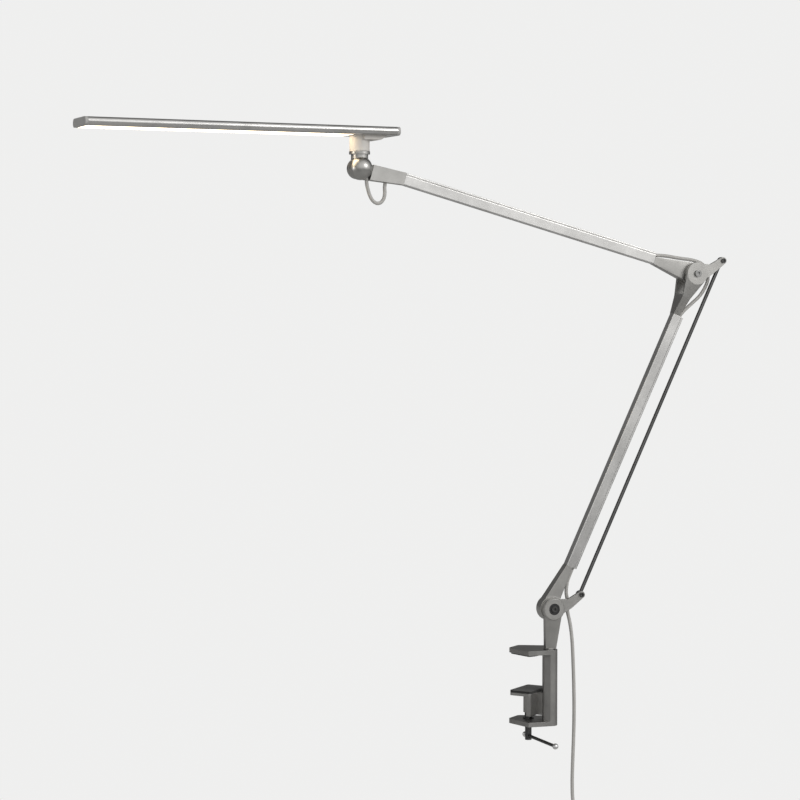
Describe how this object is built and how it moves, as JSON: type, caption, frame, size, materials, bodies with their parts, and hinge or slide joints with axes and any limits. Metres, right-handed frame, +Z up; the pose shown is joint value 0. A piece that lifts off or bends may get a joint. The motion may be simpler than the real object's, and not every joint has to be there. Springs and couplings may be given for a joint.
{
  "type": "swing arm desk lamp",
  "caption": "Clamp-on desk lamp with two long jointed arms, a tie rod that keeps the upper arm level, and a long flat light bar on a tilting and turning post.",
  "frame": {"origin": "on the face of the top jaw pad that rests on the desk top, straight above the clamp screw", "axes": "+X along the desk edge, +Y from the desk edge into the desk, +Z up"},
  "size_m": [0.5769, 0.4774, 0.8801],
  "materials": {
    "clamp_metal": "satin die-cast, slightly dark",
    "rubber": "matt",
    "black_plastic": "matt",
    "screw_steel": "dark zinc",
    "bright_steel": "polished",
    "fixings": "satin",
    "arm_silver": "satin anodised",
    "joint_silver": "satin die-cast",
    "rod_grey": "dark satin",
    "washer_white": "matt",
    "head_white": "satin",
    "bar_silver": "satin anodised",
    "diffuser": "frosted, lit warm",
    "led_board": "satin",
    "led": "clear",
    "cable": "light grey sheath",
    "adapter": "satin",
    "pins": "nickel plated"
  },
  "bodies": {
    "clamp": {"clamp_frame": "clamp_metal", "top_jaw_pad": "rubber", "swivel_bush": "black_plastic"},
    "moving_jaw": {"moving_jaw": "clamp_metal", "moving_jaw_pad": "rubber"},
    "clamp_screw": {"clamp_screw": "screw_steel", "screw_clip": "screw_steel"},
    "t_bar": {"t_bar": "screw_steel", "t_bar_balls": "bright_steel"},
    "base_bracket": {"base_bracket": "clamp_metal", "base_bolt": "fixings", "base_bolt_ring": "black_plastic", "base_nut": "fixings", "base_washers": "washer_white", "base_cord_clip": "black_plastic", "base_horn_pin": "screw_steel", "mains_cord": "cable", "cord_coil": "cable", "cord_tie": "black_plastic", "power_adapter": "adapter", "adapter_pins": "pins"},
    "lower_arm": {"lower_connector": "joint_silver", "lower_tube": "arm_silver", "lower_cover": "arm_silver", "lower_tube_screws": "fixings", "elbow_fork": "joint_silver", "elbow_bolt": "fixings", "elbow_cap": "bright_steel", "elbow_nut": "fixings", "elbow_washers": "washer_white", "base_lead": "cable"},
    "tie_rod": {"tie_rod": "rod_grey"},
    "elbow_lever": {"elbow_lever": "joint_silver", "elbow_lever_pin": "screw_steel", "elbow_cord_clip": "black_plastic", "lower_lead": "cable"},
    "upper_arm": {"rear_connector": "joint_silver", "upper_tube": "arm_silver", "upper_cover": "arm_silver", "upper_tube_screws": "fixings", "front_connector": "joint_silver", "upper_lead": "cable"},
    "knuckle": {"knuckle": "joint_silver", "head_bolt": "fixings", "swivel_pin": "bright_steel", "swivel_washer": "washer_white", "pin_clip": "screw_steel", "head_lead": "cable"},
    "head": {"post": "head_white", "shoe": "head_white", "shoe_screws": "fixings", "bar_shell": "bar_silver", "led_board": "led_board", "leds": "led", "diffuser": "diffuser", "end_cap_front": "head_white", "end_cap_rear": "head_white", "touch_pad": "fixings"}
  },
  "joints": [
    {"name": "base_swivel", "type": "hinge", "parent": "clamp", "child": "base_bracket", "pos_m": [0, -0.026, 0], "axis": [0, 0, 1], "range_deg": [-150, 55]},
    {"name": "lower_arm_tilt", "type": "hinge", "parent": "base_bracket", "child": "lower_arm", "pos_m": [0, -0.026, 0.0515], "axis": [-0.6547, -0.7559, 0], "range_deg": [-6, 70], "deforming": ["base_lead"]},
    {"name": "tie_rod_pivot", "type": "hinge", "parent": "base_bracket", "child": "tie_rod", "pos_m": [0.02509, -0.04774, 0.0657], "axis": [-0.6547, -0.7559, 0], "range_deg": [-6.5, 70.5]},
    {"name": "elbow_lever_pivot", "type": "hinge", "parent": "lower_arm", "child": "elbow_lever", "pos_m": [0.1273, -0.13627, 0.41432], "axis": [-0.6547, -0.7559, 0], "range_deg": [-70.5, 6.5], "deforming": ["lower_lead"]},
    {"name": "elbow_tilt", "type": "hinge", "parent": "elbow_lever", "child": "upper_arm", "pos_m": [0.1273, -0.13627, 0.41432], "axis": [-0.6547, -0.7559, 0], "range_deg": [-50, 30], "deforming": ["upper_lead"]},
    {"name": "head_tilt", "type": "hinge", "parent": "upper_arm", "child": "knuckle", "pos_m": [-0.16376, 0.11586, 0.52256], "axis": [-0.6547, -0.7559, 0], "range_deg": [-20, 60], "deforming": ["head_lead"]},
    {"name": "head_swivel", "type": "hinge", "parent": "knuckle", "child": "head", "pos_m": [-0.16376, 0.11586, 0.52256], "axis": [0, 0, 1], "range_deg": [-85, 85]},
    {"name": "screw_turn", "type": "hinge", "parent": "clamp", "child": "clamp_screw", "pos_m": [0, 0, 0], "axis": [0, 0, 1], "range_deg": [-1590, 2600], "deforming": ["mains_cord"]},
    {"name": "jaw_slide", "type": "slide", "parent": "clamp", "child": "moving_jaw", "axis": [0, 0, 1], "range_m": [-0.0055, 0.009]},
    {"name": "t_bar_slide", "type": "slide", "parent": "clamp_screw", "child": "t_bar", "axis": [-0.6157, -0.788, 0], "range_m": [-0.061, 0]}
  ],
  "couplings": [
    {"joint": "tie_rod_pivot", "follows": "lower_arm_tilt", "ratio": 1},
    {"joint": "elbow_lever_pivot", "follows": "lower_arm_tilt", "ratio": -1},
    {"joint": "screw_turn", "follows": "jaw_slide", "rad_per_m": 5026.5}
  ]
}
